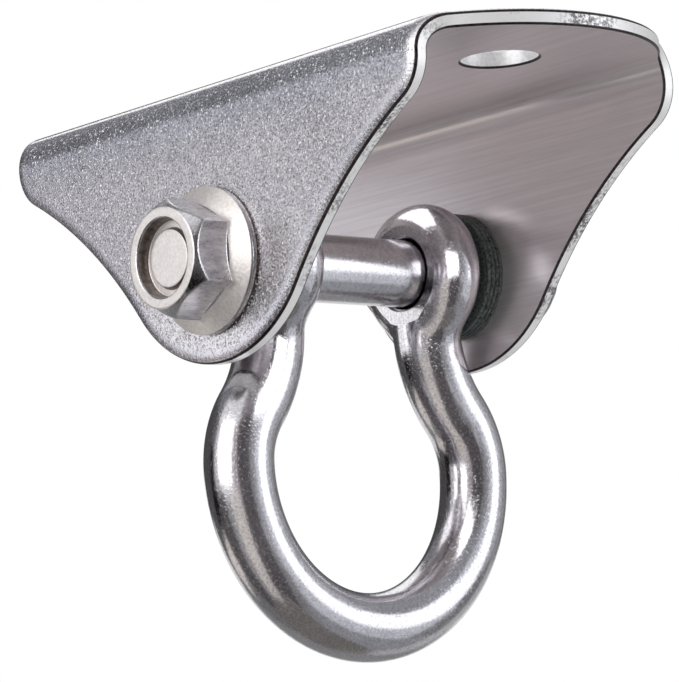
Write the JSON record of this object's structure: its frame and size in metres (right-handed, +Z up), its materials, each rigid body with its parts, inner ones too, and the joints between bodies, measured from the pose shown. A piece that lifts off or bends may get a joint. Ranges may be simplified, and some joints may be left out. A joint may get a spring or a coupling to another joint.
{
  "type": "hammock hook",
  "caption": "Swivel hanger: folded stainless channel bracket that screws up to a beam, with a bow shackle swinging on a hex flange bolt.",
  "frame": {"origin": "centre of the bracket's mounting face, between its two screw holes", "axes": "+Z up, out of the mounting face; X along the pivot bolt with its head at -X; Y along the bracket"},
  "size_m": [0.0743, 0.11, 0.0838],
  "materials": {
    "bracket_sheet": "satin blasted",
    "bolt_steel": "polished",
    "nut_steel": "polished",
    "shackle_steel": "polished",
    "spacer_plastic": "ribbed matt",
    "insert_nylon": "plain nylon"
  },
  "bodies": {
    "hanger": {"bracket": "bracket_sheet", "pivot_bolt": "bolt_steel", "lock_nut": "nut_steel", "nut_insert": "insert_nylon", "spacer_head_side": "spacer_plastic", "spacer_nut_side": "spacer_plastic"},
    "bow": {"shackle": "shackle_steel"}
  },
  "joints": [
    {"name": "bow_swing", "type": "hinge", "parent": "hanger", "child": "bow", "pos_m": [0, 0, -0.0265], "axis": [1, 0, 0], "range_deg": [-55, 55]}
  ]
}
